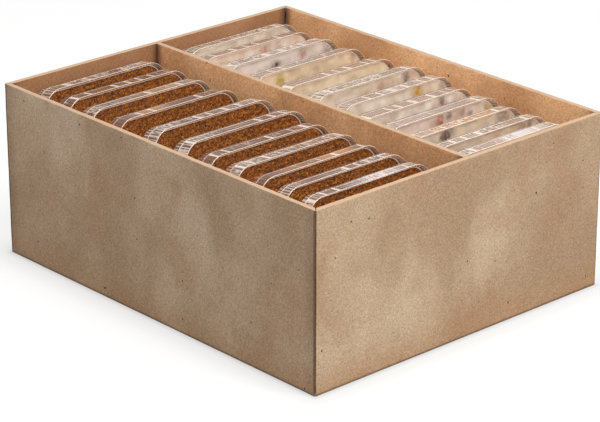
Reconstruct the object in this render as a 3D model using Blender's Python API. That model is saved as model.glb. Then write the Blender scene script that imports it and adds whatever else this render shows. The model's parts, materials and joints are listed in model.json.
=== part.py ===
"""Open-topped fibreboard filing box with two compartments of culture dishes standing on edge.

Metres, +Z up.  The origin is the middle of the underside.  +X is the filing direction, in which
the faces of the dishes look, and -Y is the side of the row with the brown granular medium.
"""

import math
from collections import namedtuple

import bmesh
import bpy

MM = 0.001

# Box.  Its width and height follow from the dishes and the plays and clearances below.
BOX_LENGTH = 264.0 * MM
BOARD = 3.2 * MM                  # thickness of every board
SEAM = 0.3 * MM                   # gap left between two pieces that touch
HOUSING = 1.0 * MM                # depth of the grooves that hold the divider's ends
NEAR_PLAY = 17.4 * MM             # width of the -Y compartment beyond one dish
FAR_PLAY = 11.0 * MM              # width of the +Y compartment beyond one dish
RIM_CLEARANCE = 5.5 * MM          # from an upright dish's top to the rim

# Dish.  The lid is the outer tray and the base, with its cast medium, the inner one.
DISH_SIDE = 90.0 * MM
DISH_CORNER = 12.0 * MM           # outer corner radius of the lid
DEEP = 14.0 * MM                  # thickness of a deep dish, lid on
SHALLOW = 11.0 * MM               # thickness of a shallow dish, lid on
LID_PLATE = 0.8 * MM
LID_WALL = 0.7 * MM
LID_SHARE = 0.62                  # share of the dish's thickness that the lid covers
LID_FIT = 0.3 * MM                # running gap between lid and base, all round
BASE_WALL = 0.8 * MM
HEADSPACE = 2.4 * MM              # from the medium up to the base's rim
CORNER_STEPS = 4

# Slotted rack combs, which stand on the floor across the dishes' lower edges.
COMB_WEB = 5.7 * MM               # height of a slot's bottom at a dish's lower edge
COMB_HEIGHT = 15.0 * MM
COMB_THICK = 3.2 * MM
COMB_SPREAD = 56.0 * MM           # distance between the two combs of a row
SLOT_FIT = 0.4 * MM
BACK_CLEARANCE = 1.6 * MM         # from the -X wall to the first dish's top edge
NEAR_END_CLEARANCE = 7.1 * MM     # from the last -Y dish's lower edge to the +X wall
FAR_END_CLEARANCE = 4.0 * MM      # from the last +Y dish's lower edge to the +X wall

# Place: share of the way from the first to the last dish.  Lean: degrees back towards -X.
# Shift: from the compartment's -Y wall to the dish.
Slot = namedtuple("Slot", "place lean shift thick")
SET_AT_LENGTH = 264.0 * MM         # the box length for which the places below were chosen
SOIL_ROW = [
    Slot(0.000, 9.5, 11.0 * MM, DEEP),
    Slot(0.088, 9.0, 11.5 * MM, DEEP),
    Slot(0.186, 9.0, 10.5 * MM, DEEP),
    Slot(0.294, 9.0, 11.0 * MM, DEEP),
    Slot(0.412, 9.0, 15.5 * MM, DEEP),
    Slot(0.529, 9.0, 16.0 * MM, DEEP),
    Slot(0.637, 8.5, 11.0 * MM, DEEP),
    Slot(0.735, 8.5, 11.5 * MM, DEEP),
    Slot(0.835, 8.0, 10.5 * MM, SHALLOW),
    Slot(0.918, 7.5, 11.0 * MM, SHALLOW),
    Slot(1.000, 7.0, 10.5 * MM, SHALLOW),
]
CULTURE_ROW = [
    Slot(0.000, 9.5, 7.0 * MM, DEEP),
    Slot(0.076, 9.5, 3.5 * MM, DEEP),
    Slot(0.162, 9.0, 6.0 * MM, DEEP),
    Slot(0.270, 9.0, 5.5 * MM, DEEP),
    Slot(0.380, 8.5, 6.0 * MM, DEEP),
    Slot(0.481, 8.5, 9.5 * MM, DEEP),
    Slot(0.579, 8.0, 8.5 * MM, DEEP),
    Slot(0.675, 7.5, 2.5 * MM, DEEP),
    Slot(0.763, 7.0, 3.0 * MM, DEEP),
    Slot(0.855, 6.0, 1.2 * MM, SHALLOW),
    Slot(0.934, 5.0, 1.5 * MM, SHALLOW),
    Slot(1.000, 4.0, 1.0 * MM, SHALLOW),
]

# Worked out from the sizes above.
NEAR_WIDTH = DISH_SIDE + NEAR_PLAY
FAR_WIDTH = DISH_SIDE + FAR_PLAY
BOX_WIDTH = 3 * BOARD + NEAR_WIDTH + FAR_WIDTH
FLOOR_TOP = BOARD + SEAM
DISH_FOOT = FLOOR_TOP + COMB_WEB + SEAM
BOX_HEIGHT = DISH_FOOT + DISH_SIDE + RIM_CLEARANCE
HALF_X = BOX_LENGTH / 2
HALF_Y = BOX_WIDTH / 2
NEAR_START = -HALF_Y + BOARD
FAR_START = NEAR_START + NEAR_WIDTH + BOARD
DIVIDER_Y = FAR_START - BOARD / 2
BASE_INSET = LID_WALL + LID_FIT


def clear_scene():
    for old in list(bpy.data.objects):
        bpy.data.objects.remove(old, do_unlink=True)


def material(name, colour, roughness, transmission=0.0):
    made = bpy.data.materials.new(name)
    made.use_nodes = True
    shader = made.node_tree.nodes["Principled BSDF"]
    shader.inputs["Base Color"].default_value = (*colour, 1.0)
    shader.inputs["Roughness"].default_value = roughness
    shader.inputs["Metallic"].default_value = 0.0
    shader.inputs["Transmission Weight"].default_value = transmission
    return made


def add_object(name, shape, look, parent=None):
    """Puts the finished bmesh into a named object."""
    bmesh.ops.recalc_face_normals(shape, faces=shape.faces[:])
    mesh = bpy.data.meshes.new(name)
    shape.to_mesh(mesh)
    shape.free()
    mesh.materials.append(look)
    piece = bpy.data.objects.new(name, mesh)
    piece.parent = parent
    bpy.context.scene.collection.objects.link(piece)
    return piece


def extruded(points, along):
    """A closed flat outline, given as 3-D points, extruded by the vector along."""
    shape = bmesh.new()
    outline = shape.faces.new([shape.verts.new(point) for point in points])
    swept = bmesh.ops.extrude_face_region(shape, geom=[outline])
    moved = [item for item in swept["geom"] if isinstance(item, bmesh.types.BMVert)]
    bmesh.ops.translate(shape, verts=moved, vec=along)
    return shape


def upright_board(plan, bottom, top):
    """A board seen from above as a list of (x, y) corners, standing from bottom to top."""
    return extruded([(x, y, bottom) for x, y in plan], (0.0, 0.0, top - bottom))


# --- boards ---------------------------------------------------------------------------------


def side_wall_plan(side):
    """Mitred long wall on the -Y side (side = -1) or the +Y side (side = 1)."""
    mitre = SEAM / math.sqrt(2)
    outer = HALF_X - mitre
    inner = outer - BOARD
    return [
        (-outer, side * HALF_Y),
        (outer, side * HALF_Y),
        (inner, side * (HALF_Y - BOARD)),
        (-inner, side * (HALF_Y - BOARD)),
    ]


def end_wall_plan(side):
    """Mitred short wall at the -X end (side = -1) or the +X end (side = 1), with its groove."""
    mitre = SEAM / math.sqrt(2)
    outer = HALF_Y - mitre
    inner = outer - BOARD
    face = side * (HALF_X - BOARD)
    groove = side * (HALF_X - BOARD + HOUSING)
    half_groove = BOARD / 2 + SEAM
    return [
        (side * HALF_X, -outer),
        (side * HALF_X, outer),
        (face, inner),
        (face, DIVIDER_Y + half_groove),
        (groove, DIVIDER_Y + half_groove),
        (groove, DIVIDER_Y - half_groove),
        (face, DIVIDER_Y - half_groove),
        (face, -inner),
    ]


def rectangle_plan(half_x, low_y, high_y):
    return [(-half_x, low_y), (half_x, low_y), (half_x, high_y), (-half_x, high_y)]


def make_boards(looks):
    half_floor_x = HALF_X - BOARD - SEAM
    half_floor_y = HALF_Y - BOARD - SEAM
    floor = upright_board(rectangle_plan(half_floor_x, -half_floor_y, half_floor_y), 0.0, BOARD)
    add_object("floor_panel", floor, looks["board"])
    for name, side in (("soil_side_wall", -1), ("culture_side_wall", 1)):
        add_object(name, upright_board(side_wall_plan(side), 0.0, BOX_HEIGHT), looks["board"])
    for name, side in (("back_end_wall", -1), ("front_end_wall", 1)):
        add_object(name, upright_board(end_wall_plan(side), 0.0, BOX_HEIGHT), looks["board"])
    half_divider = HALF_X - BOARD + HOUSING - SEAM
    divider_plan = rectangle_plan(half_divider, DIVIDER_Y - BOARD / 2, DIVIDER_Y + BOARD / 2)
    divider = upright_board(divider_plan, FLOOR_TOP, BOX_HEIGHT)
    add_object("divider_panel", divider, looks["board"])


# --- dishes ---------------------------------------------------------------------------------


def rounded_square(inset):
    """Corners of the dish's outline inset all round, as (y, z), y from its middle, z from its foot."""
    half = DISH_SIDE / 2 - inset
    radius = DISH_CORNER - inset
    points = []
    for quarter in range(4):
        turn = math.radians(90 * quarter)
        centre_y = (half - radius) * (1 if quarter in (0, 3) else -1)
        centre_z = (half - radius) * (1 if quarter in (0, 1) else -1)
        for step in range(CORNER_STEPS + 1):
            angle = turn + math.radians(90 * step / CORNER_STEPS)
            y = centre_y + radius * math.cos(angle)
            z = centre_z + radius * math.sin(angle)
            points.append((y, z + DISH_SIDE / 2))
    return points


def tray(rings):
    """Outlines at (x, inset), each joined to the next, the first and the last one closed."""
    shape = bmesh.new()
    loops = [
        [shape.verts.new((x, y, z)) for y, z in rounded_square(inset)]
        for x, inset in rings
    ]
    for lower, upper in zip(loops, loops[1:]):
        for i, corner in enumerate(lower):
            j = (i + 1) % len(lower)
            shape.faces.new((corner, lower[j], upper[j], upper[i]))
    shape.faces.new(loops[0])
    shape.faces.new(loops[-1])
    return shape


def base_with_medium(thick):
    """Inner tray, back face at x = 0, filled with medium to HEADSPACE below its rim."""
    rim = thick - LID_PLATE - LID_FIT
    inside = BASE_INSET + BASE_WALL
    return tray([(0.0, BASE_INSET), (rim, BASE_INSET), (rim, inside), (rim - HEADSPACE, inside)])


def lid(thick):
    """Outer tray, its plate at the front and its skirt reaching back over the base."""
    skirt = thick * (1 - LID_SHARE)
    plate = thick - LID_PLATE
    return tray([(plate, LID_WALL), (skirt, LID_WALL), (skirt, 0.0), (thick, 0.0)])


def foot_places(row, end_clearance):
    """Back lower edge of each dish, as x. In a longer or shorter box the gaps share the difference."""
    first_top = -HALF_X + BOARD + BACK_CLEARANCE
    first = first_top + DISH_SIDE * math.sin(math.radians(row[0].lean))
    last_thick = row[-1].thick * math.cos(math.radians(row[-1].lean))
    last = HALF_X - BOARD - end_clearance - last_thick
    set_span = last - first + SET_AT_LENGTH - BOX_LENGTH
    gaps = [(after.place - slot.place) * set_span - slot.thick for slot, after in zip(row, row[1:])]
    loose = last - first - sum(slot.thick for slot in row[:-1])
    feet = [first]
    for slot, gap in zip(row, gaps):
        feet.append(feet[-1] + slot.thick + gap * loose / sum(gaps))
    return feet


def make_row(kind, row, feet, start, looks):
    for number, (slot, foot) in enumerate(zip(row, feet), 1):
        name = f"{kind}_dish_{number:02d}"
        seat = bpy.data.objects.new(name + "_slide", None)
        seat.location = (foot, start + slot.shift + DISH_SIDE / 2, DISH_FOOT)
        seat.rotation_euler = (0.0, -math.radians(slot.lean), 0.0)
        bpy.context.scene.collection.objects.link(seat)
        add_object(name + "_base", base_with_medium(slot.thick), looks[kind], seat)
        add_object(name + "_lid", lid(slot.thick), looks["clear"], seat)


# --- rack combs -----------------------------------------------------------------------------


def comb_outline(row, feet):
    """Side view of a comb, as (x, z): one leaning slot for each dish."""
    end = HALF_X - BOARD - SEAM
    top = FLOOR_TOP + COMB_HEIGHT
    points = [(end, FLOOR_TOP), (-end, FLOOR_TOP), (-end, top)]
    for slot, foot in zip(row, feet):
        sine = math.sin(math.radians(slot.lean))
        cosine = math.cos(math.radians(slot.lean))
        for across, leaving in ((-SLOT_FIT, False), (slot.thick + SLOT_FIT, True)):
            low_x = foot + across * cosine + SEAM * sine
            low_z = DISH_FOOT + across * sine - SEAM * cosine
            high_x = low_x - (top - low_z) * sine / cosine
            side = [(high_x, top), (low_x, low_z)]
            points += reversed(side) if leaving else side
    points.append((end, top))
    return points


def make_combs(kind, row, feet, start, width, looks):
    outline = comb_outline(row, feet)
    for name, side in (("left", -1), ("right", 1)):
        middle = start + width / 2 + side * COMB_SPREAD / 2
        low_y = middle - COMB_THICK / 2
        comb = extruded([(x, low_y, z) for x, z in outline], (0.0, COMB_THICK, 0.0))
        add_object(f"{kind}_rack_comb_{name}", comb, looks["board"])


def main():
    clear_scene()
    looks = {
        "board": material("kraft_fibreboard", (0.48, 0.33, 0.20), 0.85),
        "soil": material("brown_granular_medium", (0.17, 0.05, 0.01), 0.8),
        "culture": material("cream_agar_medium", (0.66, 0.58, 0.42), 0.4),
        "clear": material("clear_dish_plastic", (0.90, 0.89, 0.91), 0.1, 0.9),
    }
    make_boards(looks)
    rows = (
        ("soil", SOIL_ROW, NEAR_START, NEAR_WIDTH, NEAR_END_CLEARANCE),
        ("culture", CULTURE_ROW, FAR_START, FAR_WIDTH, FAR_END_CLEARANCE),
    )
    for kind, row, start, width, end_clearance in rows:
        feet = foot_places(row, end_clearance)
        make_row(kind, row, feet, start, looks)
        make_combs(kind, row, feet, start, width, looks)


main()
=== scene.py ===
import json
import math
import bpy
import numpy as np
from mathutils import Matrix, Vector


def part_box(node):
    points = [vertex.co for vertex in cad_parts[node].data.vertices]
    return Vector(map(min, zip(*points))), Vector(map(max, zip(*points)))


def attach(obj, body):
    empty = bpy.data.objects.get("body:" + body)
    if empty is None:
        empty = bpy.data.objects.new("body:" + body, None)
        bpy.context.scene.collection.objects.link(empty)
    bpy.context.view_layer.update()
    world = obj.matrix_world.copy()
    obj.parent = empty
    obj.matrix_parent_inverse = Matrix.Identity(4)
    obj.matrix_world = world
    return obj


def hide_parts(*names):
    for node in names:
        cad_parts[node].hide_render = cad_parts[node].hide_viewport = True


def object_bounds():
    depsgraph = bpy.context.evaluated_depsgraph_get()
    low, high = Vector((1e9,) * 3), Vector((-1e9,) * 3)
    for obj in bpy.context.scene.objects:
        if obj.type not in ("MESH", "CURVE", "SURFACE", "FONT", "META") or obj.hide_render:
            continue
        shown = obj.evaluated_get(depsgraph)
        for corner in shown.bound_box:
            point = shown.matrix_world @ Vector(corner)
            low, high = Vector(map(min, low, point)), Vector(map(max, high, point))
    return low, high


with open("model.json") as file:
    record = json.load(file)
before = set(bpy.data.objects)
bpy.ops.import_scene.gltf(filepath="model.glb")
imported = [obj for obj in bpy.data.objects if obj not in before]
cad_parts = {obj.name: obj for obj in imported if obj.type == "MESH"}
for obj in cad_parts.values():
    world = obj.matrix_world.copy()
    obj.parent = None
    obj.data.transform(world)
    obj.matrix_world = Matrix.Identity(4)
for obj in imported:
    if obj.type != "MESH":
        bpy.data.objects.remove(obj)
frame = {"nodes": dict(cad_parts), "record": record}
lowStart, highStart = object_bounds()
low = np.array(lowStart)
high = np.array(highStart)
jointAxis = {joint["child"]: joint["axis"] for joint in frame["record"]["behaviour"]["joints"]}
rimHeight = high[2]
sharpAngle = math.radians(50)     # edges sharper than this stay crisp on smooth pieces
print("frame loaded, box", np.round(high - low, 4))


# A closed surface from a grid of rings: each ring wraps round, and both ends close on a middle point.
def ringSurface(name, rings, body, materials, zones=None, smooth=True):
    count, stations = rings.shape[:2]
    ringIndex = np.arange(count - 1)[:, None]
    stationIndex = np.arange(stations)[None, :]
    here = ringIndex * stations + stationIndex
    beside = ringIndex * stations + (stationIndex + 1) % stations
    quads = np.stack([here, beside, beside + stations, here + stations], -1).reshape(-1, 4)
    first = count * stations
    around = np.arange(stations)
    beyond = (around + 1) % stations
    lastRing = (count - 1) * stations
    startFan = np.stack([beyond, around, np.full(stations, first)], -1)
    endFan = np.stack([lastRing + around, lastRing + beyond, np.full(stations, first + 1)], -1)
    points = np.concatenate([rings.reshape(-1, 3), rings[:1].mean(1), rings[-1:].mean(1)])
    fans = np.concatenate([startFan, endFan])
    slots = np.zeros(len(quads) + len(fans), np.int32)
    if zones is not None:
        slots[:len(quads)] = np.broadcast_to(zones, (count - 1, stations)).reshape(-1)
    return meshFromArrays(name, points, [quads, fans], body, materials, slots, smooth)


# Puts arrays of points and of faces into a mesh object at the origin, riding on a body.
def meshFromArrays(name, points, faceGroups, body, materials, slots=None, smooth=True):
    mesh = bpy.data.meshes.new(name)
    corners = np.concatenate([group.reshape(-1) for group in faceGroups]).astype(np.int32)
    sizes = np.concatenate([np.full(len(group), group.shape[1]) for group in faceGroups])
    starts = np.concatenate([[0], np.cumsum(sizes)[:-1]]).astype(np.int32)
    mesh.vertices.add(len(points))
    mesh.vertices.foreach_set("co", points.astype(np.float32).reshape(-1))
    mesh.loops.add(len(corners))
    mesh.loops.foreach_set("vertex_index", corners)
    mesh.polygons.add(len(starts))
    mesh.polygons.foreach_set("loop_start", starts)
    if slots is not None:
        mesh.polygons.foreach_set("material_index", slots)
    mesh.polygons.foreach_set("use_smooth", np.full(len(starts), smooth))
    mesh.update(calc_edges=True)
    mesh.validate()
    for material in materials:
        mesh.materials.append(material)
    if smooth:
        mesh.set_sharp_from_angle(angle=sharpAngle)
    piece = bpy.data.objects.new(name, mesh)
    bpy.context.scene.collection.objects.link(piece)
    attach(piece, body)
    return piece


# Gives every point of a piece its own colour, which a material reads by the layer's name.
def paintPoints(piece, layerName, colours):
    layer = piece.data.color_attributes.new(layerName, "FLOAT_COLOR", "POINT")
    layer.data.foreach_set("color", colours.astype(np.float32).reshape(-1))


# Smooth random values on a square grid, with features between two sizes counted in cells.
def grainField(cells, small, large, seed):
    noise = np.random.default_rng(seed).standard_normal((cells, cells))
    wave = np.hypot(*np.meshgrid(np.fft.fftfreq(cells), np.fft.fftfreq(cells)))
    band = np.exp(-(wave * small) ** 2) * (1 - np.exp(-(wave * large) ** 2))
    field = np.fft.ifft2(np.fft.fft2(noise) * band).real
    return field / field.std()


# Smooth random values round a closed loop.
def loopField(count, waves, seed):
    spectrum = np.fft.rfft(np.random.default_rng(seed).standard_normal(count))
    spectrum *= np.exp(-(np.arange(len(spectrum)) / waves) ** 2)
    field = np.fft.irfft(spectrum, count)
    return field / field.std()


# Material helpers: a node with its values, given by input name or number, and sockets linked in.
def addNode(tree, kind, values=None, **settings):
    node = tree.nodes.new(kind)
    for key, value in settings.items():
        setattr(node, key, value)
    for key, value in (values or {}).items():
        if isinstance(value, bpy.types.NodeSocket):
            tree.links.new(value, node.inputs[key])
        else:
            node.inputs[key].default_value = value
    return node


def calc(tree, operation, first, second=0.0):
    return addNode(tree, "ShaderNodeMath", {0: first, 1: second}, operation=operation).outputs[0]


def smoothStep(tree, value, start, end):
    values = {"Value": value, "From Min": start, "From Max": end}
    return addNode(tree, "ShaderNodeMapRange", values, interpolation_type="SMOOTHSTEP").outputs[0]


def mixColour(tree, factor, first, second, blend="MIX"):
    node = addNode(tree, "ShaderNodeMix", data_type="RGBA", blend_type=blend)
    for socket, value in zip((node.inputs[0], node.inputs[6], node.inputs[7]), (factor, first, second)):
        if isinstance(value, bpy.types.NodeSocket):
            tree.links.new(value, socket)
        else:
            socket.default_value = value
    return node.outputs[2]


# A colour darkened or brightened by a value: the value's span from start to end becomes a factor.
def shaded(tree, colour, value, span, factors):
    values = {"Value": value, "From Min": span[0], "From Max": span[1], "To Min": factors[0], "To Max": factors[1]}
    level = addNode(tree, "ShaderNodeMapRange", values).outputs[0]
    grey = addNode(tree, "ShaderNodeCombineColor", {0: level, 1: level, 2: level}).outputs[0]
    return mixColour(tree, 1.0, colour, grey, "MULTIPLY")


def noise(tree, place, scale, detail=3.0, roughness=0.5):
    values = {"Vector": place, "Scale": scale, "Detail": detail, "Roughness": roughness}
    return addNode(tree, "ShaderNodeTexNoise", values).outputs[0]


def stretched(tree, place, scale, turn=(0.0, 0.0, 0.0)):
    return addNode(tree, "ShaderNodeMapping", {"Vector": place, "Scale": scale, "Rotation": turn}).outputs[0]


def newMaterial(name):
    material = bpy.data.materials.new(name)
    material.use_nodes = True
    tree = material.node_tree
    place = addNode(tree, "ShaderNodeTexCoord").outputs["Object"]
    return material, tree, tree.nodes["Principled BSDF"], place


def addBump(tree, shader, height, distance, strength):
    values = {"Height": height, "Distance": distance, "Strength": strength}
    bump = addNode(tree, "ShaderNodeBump", values)
    tree.links.new(bump.outputs[0], shader.inputs["Normal"])


# An opaque colour from its usual 0 to 255 levels.
def srgb(red, green, blue):
    shares = [(value / 255 / 12.92 if value <= 10 else ((value / 255 + 0.055) / 1.055) ** 2.4)
              for value in (red, green, blue)]
    return (*shares, 1.0)


# Boards
board = {
    "edgeRadius": 0.00045,
    "bend": 4,               # points round each edge
    "along": 70,             # stations along a board
    "up": 26,                # points up each face
    "warp": 0.00010,         # slow waviness of the faces
    "warpCells": 256,        # size of the field it is read from, and how much of it a board's height spans
    "warpHeight": 100,
    "nibble": 0.00006,       # fuzz of the sawn edges
    "nibbleCells": 512,
    "seam": 0.0003,          # gap between two boards
    "dividerGap": 0.00002,   # at each end of the divider
    "outer": srgb(200, 172, 142),
    "outerDark": srgb(180, 150, 120),
    "outerPale": srgb(212, 188, 160),
    "stain": srgb(182, 140, 110),
    # The inner colours: the inner faces' own warmer colour, raised as painted light against the shade inside the
    # box.
    "inner": srgb(252, 200, 150),
    "innerDark": srgb(222, 168, 120),
    # Painted shade on the insides of the end walls.
    "innerEndShade": srgb(134, 94, 66),
    "sawn": srgb(190, 162, 136),
    "speck": srgb(70, 48, 36),
    "foot": srgb(186, 142, 104),
    # Painted shade colour: along the foot, at the upright outer corners and in the inner corners.
    "corner": srgb(96, 64, 42),
    "cloudScale": (20.0, 20.0, 15.0),
    "cloudSpan": (0.35, 0.65),
    "paleScale": (19.0, 19.0, 12.0),
    "paleSpan": (0.52, 0.68),
    "paleShare": 0.6,
    "blotScale": (30.0, 30.0, 24.0),
    "blotTurn": (0.3, 0.2, 0.5),
    "blotSpan": (0.52, 0.68),
    "blotShare": 0.5,
    "footHeight": 0.024,     # the boards are browner near the bottom
    "footShare": 0.5,
    # Painted shade along the foot, where the boards meet the floor.
    "footShadeLine": (0.0018, 0.0007),
    "footShadeLineShare": 0.6,
    # Painted shade along the upright outer corners, also standing for the seam, with a wider painted shade beside
    # it.
    "jointShadeLine": (0.0026, 0.001),
    "jointShadeLineShare": 0.75,
    "jointShadeHaze": 0.012,
    "jointShadeHazeShare": 0.3,
    "endShadeShare": 0.8,         # how far the insides of the end walls take the painted shade
    # Painted shade in the inner upright corners: its width and strength.
    "cornerShadeWidth": 0.007,
    "cornerShadeShare": 0.8,
    "uprightScale": (1500.0, 1500.0, 800.0),
    "levelScale": (800.0, 800.0, 1500.0),
    "grainSpan": (0.36, 0.64),
    "grainShade": (0.62, 1.34),
    "grainBump": 0.00012,
    "speckScale": 78.0,
    "crumbScale": 420.0,
    "crumbShare": 0.10,
    "speckReach": 0.097,
    "speckShare": 0.9,
    "sawnDepth": (0.0004, 0.0001),
    "sawnScale": 700.0,
    "sawnShare": 0.75,
    "roughness": 0.82,
    "specular": 0.25,
}


def makeBoardMaterial(thick):
    material, tree, shader, place = newMaterial("fibreboard")
    apart = addNode(tree, "ShaderNodeSeparateXYZ", {0: place}).outputs
    insideX = calc(tree, "LESS_THAN", calc(tree, "ABSOLUTE", apart[0]), float(high[0] - thick / 2))
    insideY = calc(tree, "LESS_THAN", calc(tree, "ABSOLUTE", apart[1]), float(high[1] - thick / 2))
    inside = calc(tree, "MULTIPLY", insideX, insideY)
    clouds = noise(tree, stretched(tree, place, board["cloudScale"]), 1.0, 3.0, 0.5)
    clouds = smoothStep(tree, clouds, *board["cloudSpan"])
    blots = noise(tree, stretched(tree, place, board["blotScale"], board["blotTurn"]), 1.0, 3.0)
    blots = smoothStep(tree, blots, *board["blotSpan"])
    pale = smoothStep(tree, noise(tree, stretched(tree, place, board["paleScale"]), 1.0, 2.0), *board["paleSpan"])
    foot = smoothStep(tree, apart[2], board["footHeight"], 0.0)
    colour = mixColour(tree, clouds, board["outerDark"], board["outer"])
    colour = mixColour(tree, calc(tree, "MULTIPLY", pale, board["paleShare"]), colour, board["outerPale"])
    colour = mixColour(tree, calc(tree, "MULTIPLY", blots, board["blotShare"]), colour, board["stain"])
    colour = mixColour(tree, calc(tree, "MULTIPLY", foot, board["footShare"]), colour, board["foot"])

    # Outside: painted shade along the upright corners, also standing for the seam, with a wider painted shade beside
    # it, and painted shade along the foot.
    onSide = calc(tree, "GREATER_THAN", calc(tree, "ABSOLUTE", apart[1]), float(high[1] - thick * 0.3))
    fromCorner = calc(tree, "SUBTRACT", float(high[0]), calc(tree, "ABSOLUTE", apart[0]))
    line = calc(tree, "MULTIPLY", smoothStep(tree, fromCorner, *board["jointShadeLine"]), board["jointShadeLineShare"])
    haze = calc(tree, "MULTIPLY", smoothStep(tree, fromCorner, board["jointShadeHaze"], 0.0), board["jointShadeHazeShare"])
    line = calc(tree, "MULTIPLY", calc(tree, "MAXIMUM", line, haze), onSide)
    footShadeLine = calc(tree, "MULTIPLY", smoothStep(tree, apart[2], *board["footShadeLine"]), board["footShadeLineShare"])
    colour = mixColour(tree, calc(tree, "MAXIMUM", line, footShadeLine), colour, board["corner"])

    # Inside: a warmer colour, raised as painted light against the shade inside the box, with painted shade on the
    # end walls and in the upright corners.
    innerColour = mixColour(tree, clouds, board["innerDark"], board["inner"])
    endWall = calc(tree, "GREATER_THAN", calc(tree, "ABSOLUTE", apart[0]), float(high[0] - thick * 1.1))
    innerColour = mixColour(tree, calc(tree, "MULTIPLY", endWall, board["endShadeShare"]), innerColour, board["innerEndShade"])
    toDivider = calc(tree, "ABSOLUTE", calc(tree, "SUBTRACT", apart[1], dividerMiddle))
    fromEndX = calc(tree, "SUBTRACT", float(high[0] - thick), calc(tree, "ABSOLUTE", apart[0]))
    fromSideY = calc(tree, "SUBTRACT", float(high[1] - thick), calc(tree, "ABSOLUTE", apart[1]))
    fromCornerY = calc(tree, "MINIMUM", fromSideY, toDivider)
    cornerX = smoothStep(tree, fromEndX, board["cornerShadeWidth"], 0.0)
    cornerX = calc(tree, "MULTIPLY", cornerX, calc(tree, "SUBTRACT", 1.0, endWall))
    cornerY = calc(tree, "MULTIPLY", smoothStep(tree, fromCornerY, board["cornerShadeWidth"], 0.0), endWall)
    cornerShade = calc(tree, "MULTIPLY", calc(tree, "MAXIMUM", cornerX, cornerY), board["cornerShadeShare"])
    innerColour = mixColour(tree, cornerShade, innerColour, board["corner"])
    colour = mixColour(tree, inside, colour, innerColour)

    # All over: a woven grain, a few dark specks, and the paler sawn top edge.
    upright = noise(tree, stretched(tree, place, board["uprightScale"]), 1.0, 3.0, 0.75)
    level = noise(tree, stretched(tree, place, board["levelScale"]), 1.0, 3.0, 0.75)
    grain = calc(tree, "ADD", calc(tree, "MULTIPLY", upright, 0.5), calc(tree, "MULTIPLY", level, 0.5))
    colour = shaded(tree, colour, grain, board["grainSpan"], board["grainShade"])
    values = {"Vector": place, "Scale": board["speckScale"]}
    cells = addNode(tree, "ShaderNodeTexVoronoi", values, feature="F1").outputs["Distance"]
    crumb = calc(tree, "MULTIPLY", noise(tree, place, board["crumbScale"], 1.0), board["crumbShare"])
    speck = calc(tree, "LESS_THAN", calc(tree, "ADD", cells, crumb), board["speckReach"])
    colour = mixColour(tree, calc(tree, "MULTIPLY", speck, board["speckShare"]), colour, board["speck"])
    sawnEdge = smoothStep(tree, apart[2], *[float(rimHeight - depth) for depth in board["sawnDepth"]])
    sawnColour = mixColour(tree, noise(tree, place, board["sawnScale"], 2.0), board["foot"], board["sawn"])
    sawnColour = mixColour(tree, board["sawnShare"], sawnColour, board["sawn"])
    colour = mixColour(tree, sawnEdge, colour, sawnColour)
    tree.links.new(colour, shader.inputs["Base Color"])
    shader.inputs["Roughness"].default_value = board["roughness"]
    shader.inputs["Specular IOR Level"].default_value = board["specular"]
    addBump(tree, shader, grain, board["grainBump"], 0.7)
    return material


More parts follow.
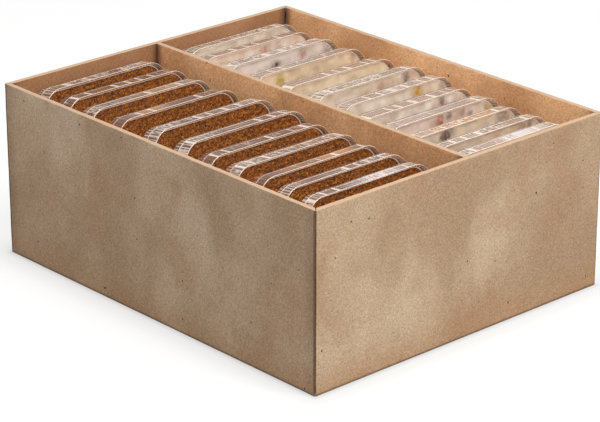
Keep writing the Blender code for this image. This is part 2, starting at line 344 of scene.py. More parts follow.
# A board: a cross-section with round edges, carried along its length.  The plan says which axis the length
# lies on, where the outer face is and which way is inwards, half the length, and the height of the lower edge.
# Mitre is how far each end is cut back per step inwards: 0 for a square end, 1 for 45 degrees.
def makeBoard(name, node, plan, seed):
    radius, bend, halfLength, bottom = board["edgeRadius"], board["bend"], plan["halfLength"], plan["bottom"]
    top, thick = rimHeight, thickness
    rise = top - bottom
    quarter = np.linspace(0, math.pi / 2, bend)
    faceUp = np.linspace(bottom + radius, top - radius, board["up"])
    edgeAcross = np.linspace(radius, thick - radius, bend)
    # The profile runs up the outer face, over the top edge, down the inner face and back under.
    sineBend, cosineBend = radius * np.sin(quarter[1:-1]), radius * np.cos(quarter[1:-1])
    across = np.concatenate([
        np.zeros(len(faceUp)), radius - cosineBend, edgeAcross, thick - radius + sineBend,
        np.full(len(faceUp), thick), thick - radius + cosineBend, edgeAcross[::-1], radius - sineBend])
    upward = np.concatenate([
        faceUp, top - radius + sineBend, np.full(bend, top), top - radius + cosineBend,
        faceUp[::-1], bottom + radius - sineBend, np.full(bend, bottom), bottom + radius - cosineBend])
    # Distance of each station from its end, and how much the section shrinks there to round the end.
    closeIn = radius * (1 - np.cos(quarter))
    fromEnd = np.concatenate([closeIn, np.linspace(radius, halfLength, board["along"])[1:]])
    shrink = np.where(fromEnd < radius, radius - np.sqrt(np.maximum(radius ** 2 - (radius - fromEnd) ** 2, 0)), 0)
    fromEnd = np.concatenate([fromEnd, fromEnd[-2::-1]])
    shrink = np.concatenate([shrink, shrink[-2::-1]])
    side = np.concatenate([-np.ones(len(fromEnd) // 2), [0], np.ones(len(fromEnd) // 2)])
    sectionAcross = np.clip(across[None, :], shrink[:, None], thick - shrink[:, None])
    sectionUp = np.clip(upward[None, :], bottom + shrink[:, None], top - shrink[:, None])
    reach = halfLength - plan["mitre"] * sectionAcross
    along = side[:, None] * (reach - fromEnd[:, None] * reach / halfLength)
    # Both faces waver a little into the board, less towards their edges, and the top edge is nibbled.
    edge = np.clip((rise / 2 - np.abs(sectionUp - bottom - rise / 2)) / radius, 0, 1)
    cells, fuzzCells = board["warpCells"], board["nibbleCells"]
    rows = np.clip(((along / halfLength + 1) * (cells / 2 - 1)).astype(int), 0, cells - 1)
    columns = np.clip(((sectionUp - bottom) / rise * board["warpHeight"]).astype(int), 0, cells - 1)
    dip = board["warp"] * np.clip(grainField(cells, 9, 60, seed)[rows, columns], -2, 2) * edge
    inwards = np.where(sectionAcross < thick / 2, 1.0, -1.0)
    sectionAcross = sectionAcross + np.abs(dip) * inwards
    rows = ((along / halfLength + 1) * (fuzzCells / 2 - 1)).astype(int) % fuzzCells
    fuzz = grainField(fuzzCells, 3, 9, seed + 1)[rows, 7]
    sectionUp = sectionUp - board["nibble"] * np.abs(fuzz) * (sectionUp > top - radius * 1.5)
    place = plan["outerFace"] + plan["inward"] * sectionAcross
    if plan["lengthAxis"] == 0:
        rings = np.stack([along, place, sectionUp], -1)
    else:
        rings = np.stack([place, along, sectionUp], -1)
    if (plan["lengthAxis"] == 0) == (plan["inward"] > 0):
        rings = rings[:, ::-1]
    piece = ringSurface(name, rings, rootBody, [fibreboard])
    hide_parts(node)


rootBody = next(name for name, nodes in frame["record"]["behaviour"]["bodies"].items() if "floor_panel" in nodes)
dividerLow, dividerHigh = [np.array(corner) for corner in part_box("divider_panel")]
thickness = float(dividerHigh[1] - dividerLow[1])
dividerMiddle = float((dividerLow[1] + dividerHigh[1]) / 2)
fibreboard = makeBoardMaterial(thickness)
mitreGap = board["seam"] / math.sqrt(2)
walls = {
    "soilSideWall": ("soil_side_wall", 0, low[1], 1, high[0]),
    "cultureSideWall": ("culture_side_wall", 0, high[1], -1, high[0]),
    "backEndWall": ("back_end_wall", 1, low[0], 1, high[1]),
    "frontEndWall": ("front_end_wall", 1, high[0], -1, high[1]),
}
for number, (name, (node, lengthAxis, outerFace, inward, halfLength)) in enumerate(walls.items()):
    plan = {"lengthAxis": lengthAxis, "outerFace": outerFace, "inward": inward,
            "halfLength": halfLength - mitreGap, "mitre": 1, "bottom": 0.0}
    makeBoard(name, node, plan, 11 + number)
plan = {"lengthAxis": 0, "outerFace": dividerLow[1], "inward": 1,
        "halfLength": high[0] - thickness - board["dividerGap"], "mitre": 0, "bottom": float(dividerLow[2])}
makeBoard("dividerPanel", "divider_panel", plan, 15)
keptNodes = ["floor_panel"] + [name for name in frame["nodes"] if "rack_comb" in name]
for name in keptNodes:
    kept = frame["nodes"][name]
    for slot in kept.material_slots:
        slot.material = fibreboard
print("boards made, kept nodes", keptNodes)


# Dishes
dish = {
    "corner": 0.012,
    "stations": 640,
    "lidWall": 0.0007,
    "lidPlate": 0.0008,
    "baseWall": 0.0008,
    "baseFloor": 0.0008,
    "headspace": 0.0024,
    "shoulder": 0.0004,      # ledge that the medium is poured up to
    "plateBand": 0.0085,     # width of the band round the middle of the plate
    "baseBand": 0.008,
    "ribPitch": 0.0022,
    "ribDepth": 0.00020,
    "ribLeast": 0.2,         # share of the depth that even a smooth lid has
    "ribFoot": 0.00008,      # how far the skirt lies inside its ticks
    "ribWander": 0.5,
    "tickPitch": 0.0096,
    "tickWide": 0.0014,
    "tickWander": 0.002,
    "cornerReach": 0.016,    # how far the stronger painted shade in the grooves spreads from a corner
    "groove": (0.20, 0.60, 0.60),        # painted shade in the grooves everywhere, near corners and on busy stretches
    "crest": (0.08, 0.80),               # painted highlight on the crests everywhere, and near corners or on busy stretches
    "raiseWithin": 0.016,    # the stretch towards +Y whose colours are raised
    "raiseOver": 0.010,      # how softly it starts
    "raise": 0.7,
    "glareReach": 0.014,
    "marks": (("ribShade", 0.13, 0.75), ("ribHighlight", 0.10, 1.0)),      # painted shade and painted glint marks: colour, share of the wall, strength
    "plastic": srgb(146, 114, 94),
    "overSoil": srgb(112, 72, 46),
    # Painted shade for the rib grooves and dark marks, painted highlight for the crests and glints, and painted
    # glare.
    "ribShade": srgb(58, 38, 26),
    "ribHighlight": srgb(250, 238, 226),
    "tan": srgb(200, 146, 92),
    "glare": srgb(230, 226, 230),
}
# How strong the ribs (their depth and their painted shade and highlights), tan stretches and painted glare of a wall
# are, how rare its ticks, and where its glare lies.
finishes = {
    "ribbed": {"ribs": 1.0, "tickCut": 0.2, "tan": 0.0, "glare": 0.0, "glareAt": 0.0},
    "patchy": {"ribs": 0.8, "tickCut": 0.2, "tan": 0.7, "glare": 0.0, "glareAt": 0.0},
    "smooth": {"ribs": 0.2, "tickCut": -0.2, "tan": 0.15, "glare": 0.0, "glareAt": 0.0},
    "amber": {"ribs": 0.15, "tickCut": 0.3, "tan": 1.0, "glare": 0.0, "glareAt": 0.0},
    "paintedGlare": {"ribs": 1.0, "tickCut": 0.4, "tan": 0.0, "glare": 0.8, "glareAt": 0.022},
}


# Place, lean and depths of a dish, worked out from the boxes of its two nodes and its joint's axis.
def dishFrame(name):
    lidLow, lidHigh = [np.array(corner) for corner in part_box(name + "_lid")]
    baseLow, baseHigh = [np.array(corner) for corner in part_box(name + "_base")]
    sine, cosine = -jointAxis[name][0], jointAxis[name][2]
    side = lidHigh[1] - lidLow[1]
    inset = (side - (baseHigh[1] - baseLow[1])) / 2
    footX = baseLow[0] + (side - inset) * sine
    footZ = baseLow[2] - inset * cosine
    return {
        "plastic": dish["overSoil" if name.startswith("soil") else "plastic"],
        "sine": sine, "cosine": cosine, "side": side, "inset": inset,
        "footX": footX, "footZ": footZ, "middleY": (lidLow[1] + lidHigh[1]) / 2,
        "thick": (lidHigh[0] - footX) / cosine,
        "skirt": (lidLow[0] - footX + side * sine) / cosine,
        "rim": (baseHigh[0] - footX + inset * sine) / cosine,
    }


# From depth, across and up in the dish to the frame: the dish leans back by its angle.
def leaned(at, depth, across, up):
    return np.stack([
        at["footX"] + depth * at["cosine"] - up * at["sine"],
        at["middleY"] + across,
        at["footZ"] + depth * at["sine"] + up * at["cosine"]], -1)


# Points, outward normals and distances at equal steps round a square with round corners.
def squareLoop(side, radius, count):
    straight = side - 2 * radius
    bend = math.pi / 2 * radius
    travelled = np.arange(count) / count * 4 * (straight + bend)
    quarter = np.floor(travelled / (straight + bend))
    along = travelled - quarter * (straight + bend)
    turn = np.clip((along - straight) / radius, 0, math.pi / 2) + quarter * math.pi / 2
    normal = np.stack([np.cos(turn), np.sin(turn)], -1)
    start = quarter * math.pi / 2
    headX, headY = np.cos(start), np.sin(start)
    run = np.minimum(along, straight) - straight / 2
    # Centre of the straight part, or of the corner, plus the radius along the normal.
    core = side / 2 - radius
    centreX = headX * core - headY * run
    centreY = headY * core + headX * run
    return np.stack([centreX, centreY], -1) + radius * normal, normal, travelled


# A wall from a profile of points, each with its depth in the dish, its inset and its share of the ribs.
def dishRings(at, profile, count, insetField):
    outline, normal, _ = squareLoop(at["side"], dish["corner"], count)
    rings = []
    for depth, inset, ribShare in profile:
        flat = outline - (inset + ribShare * insetField)[:, None] * normal
        rings.append(leaned(at, np.full(count, depth), flat[:, 0], flat[:, 1] + at["side"] / 2))
    return np.array(rings)


# Ribs round a wall, from 0 in a groove to 1 on a crest: a cosine whose phase wanders.
def ribWaves(travelled, seed):
    wander = dish["ribWander"] * loopField(len(travelled), 12, seed)
    return 0.5 + 0.5 * np.cos(2 * math.pi * (travelled / dish["ribPitch"] + wander))


# Colours round a wall: painted shade in the grooves, stronger near the corners, painted highlights on the crests,
# tan on straight stretches, and painted glare.
def wallColours(at, count, finish, seed):
    outline, _, travelled = squareLoop(at["side"], dish["corner"], count)
    quarter = at["side"] - (2 - math.pi / 2) * dish["corner"]
    bend = math.pi / 2 * dish["corner"]
    fromCorner = np.abs((travelled + bend / 2 + quarter / 2) % quarter - quarter / 2)
    nearCorner = np.exp(-(fromCorner / dish["cornerReach"]) ** 4)
    waves = ribWaves(travelled, seed)
    busy = np.clip(0.5 + 0.45 * loopField(count, 9, seed + 5), 0, 1)
    always, atCorner, whereBusy = dish["groove"]
    dark = finish["ribs"] * (1 - waves) ** 1.5 * np.clip(always + atCorner * nearCorner + whereBusy * busy, 0, 1)
    always, atEither = dish["crest"]
    pale = finish["ribs"] * waves ** 3 * (always + atEither * np.maximum(busy ** 1.5, nearCorner))
    # The side towards +Y catches no direct light, so its colours are raised a little.
    raised = np.clip((outline[:, 0] - at["side"] / 2 + dish["raiseWithin"]) / dish["raiseOver"], 0, 1)
    tan = finish["tan"] * np.clip(0.6 + loopField(count, 6, seed + 6), 0, 1) * (1 - nearCorner)
    shine = finish["glare"] * np.exp(-((travelled - quarter - finish["glareAt"]) / dish["glareReach"]) ** 2)
    colours = np.broadcast_to(np.array(at["plastic"]), (count, 4)).copy()
    for amount, colour in ((tan, "tan"), (0.85 * dark, "ribShade"), (pale, "ribHighlight"), (shine, "glare")):
        amount = np.clip(amount, 0, 1)[:, None]
        colours = colours * (1 - amount) + np.array(dish[colour]) * amount
    return np.clip(colours * (1 + dish["raise"] * raised[:, None]), 0, 1)


# Each ring takes the wall's colours, with short painted shade marks and painted glints on clusters of stations.
def paintWall(piece, colours, rings, marks, seed):
    count = len(colours)
    rng = np.random.default_rng(seed + 9)
    cluster = np.clip(0.3 + 0.8 * loopField(count, 10, seed + 8), 0.05, 1)
    walls = np.broadcast_to(colours, (rings, count, 4)).copy()
    for colour, share, strength in dish["marks"]:
        spots = (rng.random((rings, count)) < share * cluster * marks).astype(float)
        for step in (1, 2, 3):
            spots = np.maximum(spots, (1 - 0.12 * step) * np.roll(spots, 1, 0))
        spots = spots[..., None] * strength
        walls = walls * (1 - spots) + np.array(dish[colour]) * spots
    closing = colours.mean(0)[None]      # the two middle points that close the ends
    paintPoints(piece, "wall", np.concatenate([walls.reshape(-1, 4), closing, closing]))


# Lid: the profile runs from the plate's front, over its edge, back along the ribbed skirt and up inside.
def makeLid(name, at, finish, seed):
    count = dish["stations"]
    _, _, travelled = squareLoop(at["side"], dish["corner"], count)
    tickPlace = travelled + dish["tickWander"] * loopField(count, 16, seed + 2)
    ticks = (tickPlace % dish["tickPitch"]) < dish["tickWide"]
    ticks &= loopField(count, 20, seed + 3) > finish["tickCut"]
    ribs = dish["ribDepth"] * max(finish["ribs"], dish["ribLeast"]) * (1 - ribWaves(travelled, seed))
    field = np.where(ticks, 0.0, dish["ribFoot"] + ribs)
    front, skirt, wall, band = at["thick"], at["skirt"], dish["lidWall"], dish["plateBand"]
    inner = front - dish["lidPlate"]
    profile = [
        (front - 0.0001, band, 0), (front - 0.0001, 0.0010, 0), (front, 0.0006, 0),
        (front - 0.00003, 0.00028, 0), (front - 0.00012, 0.00010, 0), (front - 0.00028, 0.00003, 0),
        (front - 0.0005, 0.00005, 1),
        *[(depth, 0.00006, 1) for depth in np.linspace(front - 0.0010, skirt + 0.0009, 7)],
        (skirt + 0.0004, 0.00003, 0.5), (skirt + 0.0001, 0.00005, 0), (skirt, 0.0002, 0),
        (skirt, wall - 0.0001, 0), (skirt + 0.0002, wall, 0), (inner - 0.0004, wall, 0),
        (inner, wall + 0.0004, 0), (inner, band, 0)]
    rings = dishRings(at, profile, count, field)
    zones = np.zeros((len(profile) - 1, count), np.int32)      # 0 plate, 1 skirt, 2 painted edge highlight
    last = len(profile) - 8                                    # ring at the skirt's end
    zones[5:last] = 1
    # The front edge lines, the skirt's end and the ticks take the painted highlight.
    zones[3:5] = 2
    zones[last:last + 2] = 2
    zones[last + 2:last + 4] = 1
    zones[5:last + 1][:, ticks] = 2
    piece = ringSurface(name + "_lidShell", rings[::-1], name, clearPlastics, zones[::-1])
    paintWall(piece, wallColours(at, count, finish, seed), len(profile), finish["ribs"], seed)
    piece.visible_shadow = False      # clear plastic lets the light through
    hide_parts(name + "_lid")


# Base: the profile runs from its back face, up its wall, over the rim, down inside to the ledge that the
# medium reaches, and on to its floor.
def makeBase(name, at, finish, seed):
    count = dish["stations"] * 3 // 4
    inset, rim, ledge = at["inset"], at["rim"], at["rim"] - dish["headspace"]
    inside = inset + dish["baseWall"]
    shoulder, band = inside + dish["shoulder"], inset + dish["baseBand"]
    _, _, travelled = squareLoop(at["side"], dish["corner"], count)
    field = 0.6 * dish["ribDepth"] * finish["ribs"] * (1 - ribWaves(travelled, seed))
    profile = [
        (0.0001, band, 0), (0.0001, inset + 0.0010, 0), (0.0, inset + 0.0006, 0), (0.00003, inset + 0.00028, 0),
        (0.00012, inset + 0.0001, 0), (0.00028, inset, 0), (0.0008, inset, 1), (rim - 0.0008, inset, 1),
        (rim - 0.0002, inset, 0), (rim, inset + 0.0002, 0), (rim, inside - 0.0002, 0), (rim - 0.0002, inside, 0),
        (ledge + 0.0006, inside, 0), (ledge + 0.0001, inside + 0.00005, 0), (ledge + 0.0001, shoulder, 0),
        (ledge - 0.0001, shoulder, 0), (dish["baseFloor"], shoulder, 0), (dish["baseFloor"], band, 0)]
    rings = dishRings(at, profile, count, field)
    zones = np.zeros((len(profile) - 1, count), np.int32)
    zones[5:9] = 1           # the wall
    zones[3:5] = 2           # the edge of the back, with a painted highlight
    zones[12:15] = 2         # the ledge, with a painted highlight for the bright line at the medium's border
    piece = ringSurface(name + "_baseShell", rings, name, clearPlastics, zones)
    paintWall(piece, wallColours(at, count, finish, seed + 40), len(profile), 0.5 * finish["ribs"], seed)
    piece.visible_shadow = False


mediumFit = {
    "room": 0.00005,         # between the medium and the wall beside it
    "sunk": 0.0003,          # how far the face lies below the ledge
    "edge": 0.0012,          # width over which it rises to the ledge
    "under": 0.00006,        # gap to the floor of the base
}


# Half the width of the medium, up to the shoulder inside the base.
def mediumHalf(at):
    return at["side"] / 2 - at["inset"] - dish["baseWall"] - dish["shoulder"] - mediumFit["room"]


# Medium: a square grid whose corner squares are drawn in to quarter discs, lifted by a height field,
# and closed by a side band and a back face.
def makeMedium(name, at, cells, heights, material, tints=None):
    half = mediumHalf(at)
    radius = dish["corner"] - (at["side"] / 2 - half)
    line = np.linspace(-half, half, cells)
    across, up = np.meshgrid(line, line, indexing="ij")
    cornerAcross = np.maximum(np.abs(across) - (half - radius), 0)
    cornerUp = np.maximum(np.abs(up) - (half - radius), 0)
    length = np.hypot(cornerAcross, cornerUp)
    draw = np.where(length > 0, np.maximum(cornerAcross, cornerUp) / np.where(length > 0, length, 1), 1)
    roundAcross = np.sign(across) * (np.abs(across) - cornerAcross + cornerAcross * draw)
    roundUp = np.sign(up) * (np.abs(up) - cornerUp + cornerUp * draw)
    surface = at["rim"] - dish["headspace"]
    fade = np.clip((half - np.maximum(np.abs(across), np.abs(up))) / mediumFit["edge"], 0, 1)
    depth = surface - mediumFit["sunk"] + heights * fade + mediumFit["sunk"] * (1 - fade)
    front = leaned(at, depth, roundAcross, roundUp + at["side"] / 2)
    index = np.arange(cells * cells).reshape(cells, cells)
    quads = np.stack([index[:-1, :-1], index[1:, :-1], index[1:, 1:], index[:-1, 1:]], -1).reshape(-1, 4)
    border = np.concatenate([index[:-1, 0], index[-1, :-1], index[:0:-1, -1], index[0, :0:-1]])
    backDepth = dish["baseFloor"] + mediumFit["under"]
    back = leaned(at, np.full(len(border), backDepth), roundAcross.reshape(-1)[border],
                  roundUp.reshape(-1)[border] + at["side"] / 2)
    total = cells * cells
    ring = total + np.arange(len(border))
    side = np.stack([np.roll(border, -1), border, ring, np.roll(ring, -1)], -1)
    fan = np.stack([ring, np.full(len(ring), total + len(ring)), np.roll(ring, -1)], -1)
    points = np.concatenate([front.reshape(-1, 3), back, back.mean(0)[None]])
    piece = meshFromArrays(name + "_medium", points, [quads, side, fan], name, [material])
    if tints is not None:
        tints = tints.reshape(-1, 4)
        hidden = np.broadcast_to(tints.mean(0), (len(points) - total, 4))
        paintPoints(piece, "tint", np.concatenate([tints, hidden]))
    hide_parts(name + "_base")


# Clear plastic in three looks: the plate, the wall with its painted colours, and painted highlights on edges and
# ticks.
plastic = {
    "clearPlate": {"colour": srgb(225, 222, 225), "alpha": 0.006, "roughness": 0.06},
    "clearWall": {"colour": None, "alpha": 0.54, "roughness": 0.14},      # None: painted by paintWall
    "edgeHighlight": {"colour": srgb(244, 228, 214), "alpha": 0.72, "roughness": 0.15},
}


def makeClear(name, colour, alpha, roughness):
    material, tree, shader, _ = newMaterial(name)
    if colour is None:
        wall = addNode(tree, "ShaderNodeVertexColor", layer_name="wall").outputs["Color"]
        tree.links.new(wall, shader.inputs["Base Color"])
    else:
        shader.inputs["Base Color"].default_value = colour
    shader.inputs["Roughness"].default_value = roughness
    shader.inputs["IOR"].default_value = 1.55
    shader.inputs["Alpha"].default_value = alpha
    return material


clearPlastics = [makeClear(name, **look) for name, look in plastic.items()]


# Brown granular medium
soil = {
    "cells": 120,
    "grainHeight": 0.00030,
    "deep": srgb(34, 16, 6),
    "body": srgb(150, 82, 18),
    "bright": srgb(204, 124, 40),
    "granuleScale": 1350.0,
    "fineScale": 1300.0,
    "fineSpan": (0.42, 0.60),
    "bodyShare": 0.5,
    "brightSpan": (0.66, 0.86),
    "brightShare": 0.6,
    "deepSpan": (0.20, 0.10),
    "deepShare": 0.75,
    "lumpScale": 150.0,
    "lumpSpan": (0.58, 0.70),
    "lumpShare": 0.25,
    "roughness": 0.8,
    "specular": 0.2,
    "bump": 0.0004,
    "finish": ["ribbed", "smooth", "patchy", "amber", "ribbed", "ribbed", "smooth", "patchy", "amber", "ribbed",
               "paintedGlare"],
}


def makeSoilMaterial():
    material, tree, shader, place = newMaterial("granularMedium")
    values = {"Vector": place, "Scale": soil["granuleScale"]}
    granules = addNode(tree, "ShaderNodeTexVoronoi", values, feature="F1").outputs
    chance = addNode(tree, "ShaderNodeSeparateColor", {0: granules["Color"]}).outputs
    fine = noise(tree, place, soil["fineScale"], 3.0, 0.7)
    colour = mixColour(tree, smoothStep(tree, fine, *soil["fineSpan"]), soil["deep"], soil["body"])
    colour = mixColour(tree, soil["bodyShare"], colour, soil["body"])
    bright = calc(tree, "MULTIPLY", smoothStep(tree, chance[0], *soil["brightSpan"]), soil["brightShare"])
    colour = mixColour(tree, bright, colour, soil["bright"])
    deep = calc(tree, "MULTIPLY", smoothStep(tree, chance[1], *soil["deepSpan"]), soil["deepShare"])
    colour = mixColour(tree, deep, colour, soil["deep"])
    lumps = smoothStep(tree, noise(tree, place, soil["lumpScale"], 4.0, 0.65), *soil["lumpSpan"])
    colour = mixColour(tree, calc(tree, "MULTIPLY", lumps, soil["lumpShare"]), colour, soil["deep"])
    tree.links.new(colour, shader.inputs["Base Color"])
    shader.inputs["Roughness"].default_value = soil["roughness"]
    shader.inputs["Specular IOR Level"].default_value = soil["specular"]
    addBump(tree, shader, calc(tree, "SUBTRACT", fine, granules["Distance"]), soil["bump"], 0.6)
    return material


# Cream agar, with two tints for each dish and its colonies: across from the middle and down from the top of
# the dish in mm, size in mm, colour, and how strongly it shows.  Strays are colonies placed at random lower down.
agar = {
    "cells": 112,
    "tints": [srgb(240, 220, 202), srgb(242, 222, 206), srgb(236, 216, 206), srgb(236, 208, 176),
              srgb(240, 216, 184), srgb(234, 212, 192), srgb(240, 222, 206), srgb(248, 232, 216),
              srgb(236, 212, 196), srgb(234, 208, 176), srgb(228, 204, 182), srgb(228, 208, 194)],
    "second": [srgb(216, 198, 172), srgb(228, 192, 168), srgb(214, 196, 182), srgb(216, 188, 154),
               srgb(224, 198, 164), srgb(216, 190, 164), srgb(218, 194, 168), srgb(218, 192, 174),
               srgb(216, 184, 164), srgb(212, 192, 176), srgb(216, 182, 152), srgb(216, 182, 154)],
    "finish": ["ribbed", "smooth", "ribbed", "patchy", "smooth", "ribbed", "ribbed", "smooth", "ribbed", "patchy",
               "ribbed", "paintedGlare"],
    "mottleScale": 260.0,
    "mottleSpan": (0.3, 0.7),
    "mottleShade": (0.90, 1.08),
    "roughness": 0.35,
    "bumpScale": 500.0,
    "bump": 0.0002,
    "wave": 0.00010,         # slow unevenness of the surface
    "proud": 0.00022,        # how far a colony stands up
    "spread": 1.35,          # reach of a colony, in its sizes
    "show": 1.25,            # overall strength of the colonies
    "strayCount": (5, 10),
    "strayAcross": (-38, 38),
    "strayDown": (20, 84),
    "straySize": (1.4, 4.4),
    "strayShow": (0.3, 0.85),
    "colours": {
        "rust": srgb(170, 92, 58), "plum": srgb(92, 58, 58), "brown": srgb(128, 88, 68),
        "ochre": srgb(200, 144, 36), "olive": srgb(188, 158, 72), "grey": srgb(108, 96, 92),
    },
    "colonies": {
        0: [(24, 6, 3.0, "grey", 0.35), (33, 8, 2.4, "brown", 0.3)],
        1: [(9, 6, 3.4, "rust", 0.5), (20, 5, 3.0, "rust", 0.35), (-20, 8, 2.0, "olive", 0.3)],
        2: [(-3, 9, 3.0, "plum", 0.85), (19, 6, 2.6, "rust", 0.5), (40, 7, 4.0, "plum", 0.55)],
        3: [(-21, 7, 3.0, "olive", 0.95), (8, 6, 2.4, "brown", 0.35), (39, 4.5, 3.4, "brown", 0.4)],
        4: [(14, 7, 2.5, "brown", 0.2), (-26, 7, 3.0, "grey", 0.15)],
        5: [(31, 6, 3.0, "grey", 0.8), (10, 7, 2.4, "rust", 0.45)],
        6: [(19, 5, 3.4, "ochre", 0.85), (41, 6, 3.6, "plum", 0.5)],
        7: [(23, 5, 2.4, "plum", 0.6), (24, 8, 2.4, "brown", 0.5), (39, 5, 1.6, "olive", 0.6)],
        8: [(0, 6, 3.0, "rust", 0.75), (7, 4.5, 2.0, "plum", 0.65), (24, 7, 2.0, "grey", 0.6),
            (18, 5, 1.8, "plum", 0.4), (39, 5, 3.4, "olive", 0.7)],
        9: [(-12, 5, 3.6, "plum", 0.8), (-16, 6, 2.2, "plum", 0.7), (35, 5, 5.0, "plum", 0.5),
            (30, 7, 3.0, "brown", 0.4)],
        10: [(28, 4, 3.4, "brown", 0.5), (34, 5, 2.4, "plum", 0.5), (8, 6, 2.0, "brown", 0.25)],
        11: [(20, 6, 3.0, "brown", 0.35), (-14, 6, 2.4, "olive", 0.3)],
    },
}


def makeAgarMaterial():
    material, tree, shader, place = newMaterial("agarMedium")
    tint = addNode(tree, "ShaderNodeVertexColor", layer_name="tint").outputs["Color"]
    mottle = noise(tree, place, agar["mottleScale"], 4.0, 0.6)
    colour = shaded(tree, tint, mottle, agar["mottleSpan"], agar["mottleShade"])
    tree.links.new(colour, shader.inputs["Base Color"])
    shader.inputs["Roughness"].default_value = agar["roughness"]
    addBump(tree, shader, noise(tree, place, agar["bumpScale"], 3.0), agar["bump"], 0.4)
    return material


# Colours and heights of one agar surface: two tints mixed by a slow field, then each colony a soft spot
# with an uneven edge, whose middle stands a little proud.
def agarSurface(at, number):
    cells = agar["cells"]
    line = np.linspace(-mediumHalf(at), mediumHalf(at), cells)
    across, up = np.meshgrid(line, line, indexing="ij")
    share = np.clip(0.45 + 0.35 * grainField(cells, 13, 45, 600 + number), 0, 1)[..., None]
    colours = np.array(agar["tints"][number]) * (1 - share) + np.array(agar["second"][number]) * share
    heights = agar["wave"] * grainField(cells, 8, 40, 950 + number)
    uneven = grainField(cells, 3, 9, 640 + number)
    fleck = np.clip(0.85 + 0.12 * uneven, 0.3, 1.2)
    rng = np.random.default_rng(680 + number)
    spots = list(agar["colonies"][number])
    colourNames = list(agar["colours"])
    for _ in range(int(rng.integers(*agar["strayCount"]))):
        spots.append((rng.uniform(*agar["strayAcross"]), rng.uniform(*agar["strayDown"]),
                      rng.uniform(*agar["straySize"]), colourNames[rng.integers(len(colourNames))],
                      rng.uniform(*agar["strayShow"])))
    for spotAcross, down, size, colour, strength in spots:
        away = np.hypot(across - spotAcross / 1000, up - (at["side"] / 2 - down / 1000))
        cover = np.clip(1.3 - away / (size * agar["spread"] / 1000) + 0.07 * uneven, 0, 1) ** 1.2
        amount = np.clip(agar["show"] * strength * cover * fleck, 0, 1)[..., None]
        colours = colours * (1 - amount) + np.array(agar["colours"][colour]) * amount
        heights = heights + agar["proud"] * cover * strength
    return colours, np.clip(heights, -0.0002, 0.0006)


granularMedium = makeSoilMaterial()
agarMedium = makeAgarMaterial()
soilNames = sorted(name for name in jointAxis if name.startswith("soil"))
cultureNames = sorted(name for name in jointAxis if name.startswith("culture"))
for number, name in enumerate(soilNames):
    at = dishFrame(name)
    finish = finishes[soil["finish"][number]]
    makeLid(name, at, finish, 100 + 10 * number)
    makeBase(name, at, finish, 500 + number)
    heights = soil["grainHeight"] * np.clip(grainField(soil["cells"], 2.0, 14, 900 + number), -2, 2)
    makeMedium(name, at, soil["cells"], heights, granularMedium)
print("soil dishes made:", len(soilNames))

for number, name in enumerate(cultureNames):
    at = dishFrame(name)
    finish = finishes[agar["finish"][number]]
    makeLid(name, at, finish, 300 + 10 * number)
    makeBase(name, at, finish, 700 + number)
    tints, heights = agarSurface(at, number)
    makeMedium(name, at, agar["cells"], heights, agarMedium, tints)
print("culture dishes made:", len(cultureNames))


# Floor, light and camera
floor = {
    "half": 3.0,
    "drop": 0.0002,          # the floor lies this far under the box
    "pale": srgb(244, 244, 244),
    "bounce": srgb(150, 150, 150),       # what the lamps and the box see of it
    "glow": 0.75,
    "nearShadowReach": 0.030,      # painted shadow: the glow fades this close to the box, and more under its edges
    "nearShadowShare": 0.16,
    "closeShadowReach": 0.004,
    "closeShadowShare": 0.16,
}
studio = {"ambient": (0.93, 0.96, 1.0, 1.0), "ambientStrength": 0.60, "lampTarget": (0, 0, 0.05)}
lamps = {
    "keyLight": {"place": (0.95, 0.1, 1.45), "size": 0.8, "power": 23.0, "colour": (1.0, 0.96, 0.90)},
    "topLight": {"place": (0.2, -0.6, 1.4), "size": 1.0, "power": 6.5, "colour": (1.0, 0.97, 0.93)},
}
view = {"azimuth": 47.68, "elevation": 22.09, "lens": 163.0, "place": (1.0719, -0.9754, 0.6238)}


# 1 where the camera looks straight at a surface or through the clear plastic, 0 for every other ray.
def seenRays(tree):
    rays = addNode(tree, "ShaderNodeLightPath").outputs
    return calc(tree, "MAXIMUM", rays["Is Camera Ray"], rays["Is Transmission Ray"])


# Sends a blend of two shaders to the output.
def blendShaders(tree, share, first, second, output):
    blend = addNode(tree, "ShaderNodeMixShader", {0: share})
    tree.links.new(first.outputs[0], blend.inputs[1])
    tree.links.new(second.outputs[0], blend.inputs[2])
    tree.links.new(blend.outputs[0], tree.nodes[output].inputs[0])


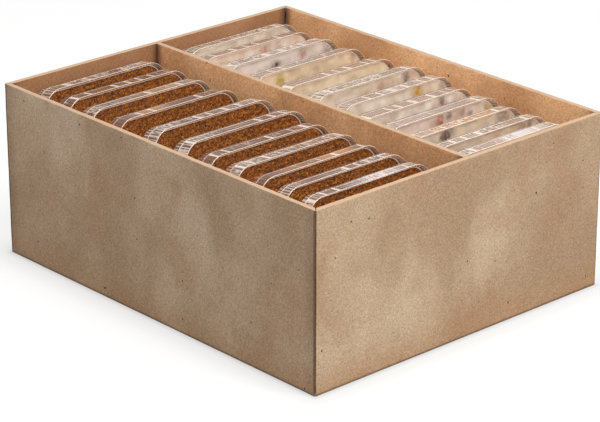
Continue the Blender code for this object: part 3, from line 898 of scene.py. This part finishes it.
def makeFloorMaterial():
    material, tree, shader, place = newMaterial("paleFloor")
    shader.inputs["Roughness"].default_value = 0.9
    shader.inputs["Specular IOR Level"].default_value = 0.0
    seen = seenRays(tree)
    tree.links.new(mixColour(tree, seen, floor["bounce"], floor["pale"]), shader.inputs["Base Color"])
    # Distance from the outline of the box, along the floor, for the painted shadow round the box.
    apart = addNode(tree, "ShaderNodeSeparateXYZ", {0: place}).outputs
    beyond = [calc(tree, "MAXIMUM", calc(tree, "SUBTRACT", calc(tree, "ABSOLUTE", apart[axis]), float(high[axis])))
              for axis in (0, 1)]
    away = calc(tree, "SQRT", calc(tree, "ADD", *[calc(tree, "MULTIPLY", part, part) for part in beyond]))
    # Painted shadow: the glow fades near the box, and more just under its edges.
    near = calc(tree, "POWER", smoothStep(tree, away, floor["nearShadowReach"], 0.0), 2.0)
    near = calc(tree, "MULTIPLY", near, floor["nearShadowShare"])
    close = calc(tree, "MULTIPLY", smoothStep(tree, away, floor["closeShadowReach"], 0.0), floor["closeShadowShare"])
    fade = calc(tree, "SUBTRACT", 1.0, calc(tree, "ADD", near, close))
    glow = addNode(tree, "ShaderNodeEmission", {"Color": (1, 1, 1, 1), "Strength": fade})
    blendShaders(tree, calc(tree, "MULTIPLY", seen, floor["glow"]), shader, glow, "Material Output")
    return material


def makeFloor():
    mesh = bpy.data.meshes.new("floor")
    sides = ((-1, -1), (1, -1), (1, 1), (-1, 1))
    corners = [(x * floor["half"], y * floor["half"], -floor["drop"]) for x, y in sides]
    mesh.from_pydata(corners, [], [(0, 1, 2, 3)])
    piece = bpy.data.objects.new("floor", mesh)
    bpy.context.scene.collection.objects.link(piece)
    mesh.materials.append(makeFloorMaterial())


def makeWorld():
    world = bpy.data.worlds.new("studio")
    bpy.context.scene.world = world
    world.use_nodes = True
    tree = world.node_tree
    ambient = tree.nodes["Background"]
    ambient.inputs["Color"].default_value = studio["ambient"]
    ambient.inputs["Strength"].default_value = studio["ambientStrength"]
    white = addNode(tree, "ShaderNodeBackground", {"Color": (1, 1, 1, 1), "Strength": 1.0})
    blendShaders(tree, seenRays(tree), ambient, white, "World Output")


def addLamp(name, lamp):
    light = bpy.data.lights.new(name, "AREA")
    light.shape = "SQUARE"
    light.size = lamp["size"]
    light.energy = lamp["power"]
    light.color = lamp["colour"]
    away = np.array(lamp["place"]) - np.array(studio["lampTarget"])
    piece = bpy.data.objects.new(name, light)
    piece.location = lamp["place"]
    piece.rotation_euler = (math.atan2(math.hypot(away[0], away[1]), away[2]), 0, math.atan2(away[0], -away[1]))
    bpy.context.scene.collection.objects.link(piece)


def addCamera():
    data = bpy.data.cameras.new("camera")
    data.lens = view["lens"]
    data.sensor_width = 36.0
    data.clip_start = 0.05
    camera = bpy.data.objects.new("camera", data)
    camera.location = view["place"]
    camera.rotation_euler = (math.radians(90 - view["elevation"]), 0, math.radians(view["azimuth"]))
    bpy.context.scene.collection.objects.link(camera)
    bpy.context.scene.camera = camera


makeFloor()
makeWorld()
for name, lamp in lamps.items():
    addLamp(name, lamp)
addCamera()
bpy.context.scene.view_settings.view_transform = "Standard"
print("stage, light and camera made")
